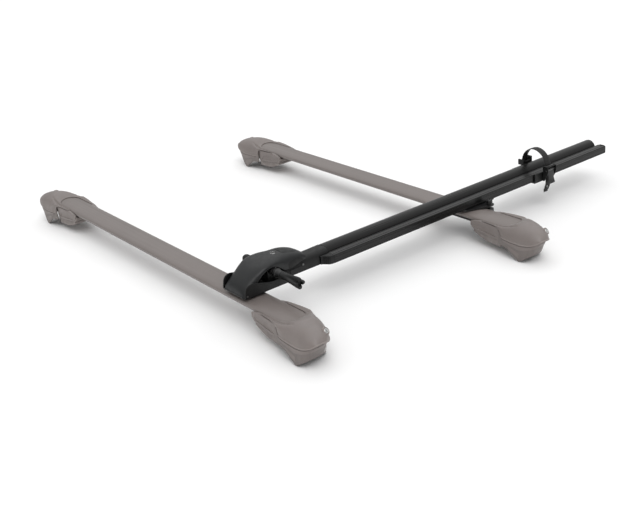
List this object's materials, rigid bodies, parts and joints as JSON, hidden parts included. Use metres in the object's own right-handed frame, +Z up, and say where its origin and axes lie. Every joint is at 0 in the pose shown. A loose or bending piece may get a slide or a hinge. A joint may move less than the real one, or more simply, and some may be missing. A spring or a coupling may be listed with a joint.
{
  "type": "fork-mount roof bicycle carrier with crossbars",
  "caption": "Fork-mount bicycle carrier: hooded clamp head, slotted tray with half-round spine and ratchet wheel strap, on two aero roof crossbars with clawed feet.",
  "frame": {"origin": "middle of the footprint, level with the claw tips of the four roof feet", "axes": "+X along the carrier from head to tail, +Y across the car towards its left side, +Z up"},
  "size_m": [1.3519, 1.4188, 0.1653],
  "materials": {
    "foot_plastic": "satin grey-brown moulded plastic",
    "bar_metal": "satin grey-brown coated aluminium extrusion",
    "roof_pad_rubber": "matt grey rubber",
    "lock_metal": "bright key plug",
    "black_anodised": "satin black anodised extrusion with fine lengthwise die lines",
    "black_moulded": "fine-grained black moulded nylon",
    "satin_black": "satin black coated steel",
    "black_rubber": "matt black rubber",
    "strap_rubber": "black ribbed strap rubber",
    "dark_steel": "zinc-grey steel",
    "bright_steel": "bright plated steel"
  },
  "bodies": {
    "front_bar": {"front_crossbar": "bar_metal", "front_right_foot_base": "foot_plastic", "front_right_foot_pad": "roof_pad_rubber", "front_left_foot_base": "foot_plastic", "front_left_foot_pad": "roof_pad_rubber"},
    "carrier": {"tray_rail": "black_anodised", "tray_collar": "black_moulded", "end_cap_right": "black_moulded", "end_cap_left": "black_moulded", "spine_plug": "black_moulded", "head_base": "black_moulded", "head_pad": "black_rubber", "clamp_bridge": "dark_steel", "axle_tube": "dark_steel", "side_eyelet": "bright_steel", "neck_pin": "dark_steel", "lid_hinge_pin": "dark_steel"},
    "lid": {"head_lid": "black_moulded", "lock_bezel": "bright_steel"},
    "lid_lock": {"lock_cylinder": "lock_metal", "lock_tongue": "dark_steel"},
    "clamp_screw": {"clamp_bolt": "dark_steel", "clamp_dial": "black_moulded"},
    "front_hook": {"clamp_hook": "dark_steel"},
    "skewer": {"skewer_rod": "dark_steel", "skewer_nut": "black_moulded"},
    "cup": {"clamp_cup": "satin_black"},
    "knob": {"star_knob": "black_moulded"},
    "rear_clamp": {"rear_slider": "dark_steel", "rear_saddle": "satin_black", "rear_saddle_pad": "black_rubber"},
    "bolt_right": {"rear_bolt_right": "satin_black"},
    "bolt_left": {"rear_bolt_left": "satin_black"},
    "jaw": {"rear_jaw": "satin_black"},
    "slot_dial": {"rear_dial": "black_moulded"},
    "rear_bar": {"rear_crossbar": "bar_metal", "rear_right_foot_base": "foot_plastic", "rear_right_foot_pad": "roof_pad_rubber", "rear_left_foot_base": "foot_plastic", "rear_left_foot_pad": "roof_pad_rubber"},
    "strap_mount": {"strap_cradle": "black_moulded", "strap_anchor": "black_moulded", "ladder_strap": "strap_rubber", "buckle_frame": "black_moulded", "cradle_bolt": "dark_steel"},
    "lever": {"ratchet_lever": "satin_black"},
    "tab": {"release_tab": "black_moulded"},
    "under_knob": {"cradle_knob": "black_moulded"},
    "front_right_cover": {"front_right_foot_cover": "foot_plastic"},
    "front_right_lock": {"front_right_foot_lock": "lock_metal"},
    "front_right_claw": {"front_right_foot_claw": "foot_plastic"},
    "front_left_cover": {"front_left_foot_cover": "foot_plastic"},
    "front_left_lock": {"front_left_foot_lock": "lock_metal"},
    "front_left_claw": {"front_left_foot_claw": "foot_plastic"},
    "rear_right_cover": {"rear_right_foot_cover": "foot_plastic"},
    "rear_right_lock": {"rear_right_foot_lock": "lock_metal"},
    "rear_right_claw": {"rear_right_foot_claw": "foot_plastic"},
    "rear_left_cover": {"rear_left_foot_cover": "foot_plastic"},
    "rear_left_lock": {"rear_left_foot_lock": "lock_metal"},
    "rear_left_claw": {"rear_left_foot_claw": "foot_plastic"}
  },
  "joints": [
    {"name": "carrier_slide", "type": "slide", "parent": "front_bar", "child": "carrier", "axis": [0, 1, 0], "range_m": [0, 0.7]},
    {"name": "rear_clamp_slide", "type": "slide", "parent": "carrier", "child": "rear_clamp", "axis": [1, 0, 0], "range_m": [-0.25, 0.1]},
    {"name": "rear_bar_slide", "type": "slide", "parent": "rear_clamp", "child": "rear_bar", "axis": [0, 1, 0], "range_m": [-0.7, 0]},
    {"name": "lid_hinge", "type": "hinge", "parent": "carrier", "child": "lid", "pos_m": [-0.653, -0.39, 0.09], "axis": [0, -1, 0], "range_deg": [0, 80]},
    {"name": "lid_lock_turn", "type": "hinge", "parent": "lid", "child": "lid_lock", "pos_m": [-0.54, -0.39, 0.146], "axis": [0, 0, 1], "range_deg": [0, 90]},
    {"name": "clamp_screw_turn", "type": "hinge", "parent": "carrier", "child": "clamp_screw", "pos_m": [-0.611, -0.39, 0.1035], "axis": [0, 0, 1], "range_deg": [0, 1735]},
    {"name": "hook_slide", "type": "slide", "parent": "carrier", "child": "front_hook", "axis": [0, 0, 1], "range_m": [-0.006, 0]},
    {"name": "skewer_slide", "type": "slide", "parent": "carrier", "child": "skewer", "axis": [0, 1, 0], "range_m": [-0.0026, 0.008]},
    {"name": "cup_slide", "type": "slide", "parent": "carrier", "child": "cup", "axis": [0, -1, 0], "range_m": [-0.0026, 0.01]},
    {"name": "star_knob_turn", "type": "hinge", "parent": "cup", "child": "knob", "pos_m": [-0.569, -0.39, 0.1235], "axis": [0, 1, 0], "range_deg": [-640, 2420]},
    {"name": "rear_bolt_right_turn", "type": "hinge", "parent": "rear_clamp", "child": "bolt_right", "pos_m": [0.138, -0.457, 0.0785], "axis": [0, 0, 1], "range_deg": [0, 2890]},
    {"name": "rear_bolt_left_turn", "type": "hinge", "parent": "rear_clamp", "child": "bolt_left", "pos_m": [0.138, -0.346, 0.0785], "axis": [0, 0, 1], "range_deg": [0, 2890]},
    {"name": "jaw_slide", "type": "slide", "parent": "rear_clamp", "child": "jaw", "axis": [0, 0, 1], "range_m": [-0.01, 0]},
    {"name": "rear_dial_turn", "type": "hinge", "parent": "rear_clamp", "child": "slot_dial", "pos_m": [0.181, -0.39, 0.0785], "axis": [0, 0, 1], "continuous": true},
    {"name": "strap_mount_slide", "type": "slide", "parent": "carrier", "child": "strap_mount", "axis": [1, 0, 0], "range_m": [-0.1, 0.2]},
    {"name": "ratchet_lever_turn", "type": "hinge", "parent": "strap_mount", "child": "lever", "pos_m": [0.391, -0.4572, 0.113], "axis": [-1, 0, 0], "range_deg": [0, 75]},
    {"name": "release_tab_turn", "type": "hinge", "parent": "strap_mount", "child": "tab", "pos_m": [0.391, -0.454, 0.1225], "axis": [1, 0, 0], "range_deg": [0, 15], "stiffness_Nm_per_rad": 0.1},
    {"name": "cradle_knob_turn", "type": "hinge", "parent": "strap_mount", "child": "under_knob", "pos_m": [0.355, -0.39, 0.0785], "axis": [0, 0, 1], "continuous": true},
    {"name": "front_right_cover_hinge", "type": "hinge", "parent": "front_bar", "child": "front_right_cover", "pos_m": [-0.625, -0.506, 0.0815], "axis": [-1, 0, 0], "range_deg": [0, 55]},
    {"name": "front_right_lock_turn", "type": "hinge", "parent": "front_right_cover", "child": "front_right_lock", "pos_m": [-0.6215, -0.685, 0.0775], "axis": [0.3315, -0.7367, 0.5894], "range_deg": [0, 90]},
    {"name": "front_right_claw_slide", "type": "slide", "parent": "front_bar", "child": "front_right_claw", "axis": [0, -1, 0], "range_m": [0, 0.004]},
    {"name": "front_left_cover_hinge", "type": "hinge", "parent": "front_bar", "child": "front_left_cover", "pos_m": [-0.625, 0.506, 0.0815], "axis": [1, 0, 0], "range_deg": [0, 55]},
    {"name": "front_left_lock_turn", "type": "hinge", "parent": "front_left_cover", "child": "front_left_lock", "pos_m": [-0.6215, 0.685, 0.0775], "axis": [0.3315, 0.7367, 0.5894], "range_deg": [0, 90]},
    {"name": "front_left_claw_slide", "type": "slide", "parent": "front_bar", "child": "front_left_claw", "axis": [0, 1, 0], "range_m": [0, 0.004]},
    {"name": "rear_right_cover_hinge", "type": "hinge", "parent": "rear_bar", "child": "rear_right_cover", "pos_m": [0.095, -0.506, 0.0815], "axis": [-1, 0, 0], "range_deg": [0, 55]},
    {"name": "rear_right_lock_turn", "type": "hinge", "parent": "rear_right_cover", "child": "rear_right_lock", "pos_m": [0.0985, -0.685, 0.0775], "axis": [0.3315, -0.7367, 0.5894], "range_deg": [0, 90]},
    {"name": "rear_right_claw_slide", "type": "slide", "parent": "rear_bar", "child": "rear_right_claw", "axis": [0, -1, 0], "range_m": [0, 0.004]},
    {"name": "rear_left_cover_hinge", "type": "hinge", "parent": "rear_bar", "child": "rear_left_cover", "pos_m": [0.095, 0.451, 0.0815], "axis": [1, 0, 0], "range_deg": [0, 55]},
    {"name": "rear_left_lock_turn", "type": "hinge", "parent": "rear_left_cover", "child": "rear_left_lock", "pos_m": [0.0985, 0.63, 0.0775], "axis": [0.3315, 0.7367, 0.5894], "range_deg": [0, 90]},
    {"name": "rear_left_claw_slide", "type": "slide", "parent": "rear_bar", "child": "rear_left_claw", "axis": [0, 1, 0], "range_m": [0, 0.004]}
  ],
  "couplings": [
    {"joint": "rear_bar_slide", "follows": "carrier_slide", "ratio": -1},
    {"joint": "clamp_screw_turn", "follows": "hook_slide", "rad_per_m": -5026.5},
    {"joint": "star_knob_turn", "follows": "cup_slide", "rad_per_m": 4188.8},
    {"joint": "rear_bolt_right_turn", "follows": "jaw_slide", "rad_per_m": -5026.5},
    {"joint": "rear_bolt_left_turn", "follows": "jaw_slide", "rad_per_m": -5026.5}
  ]
}
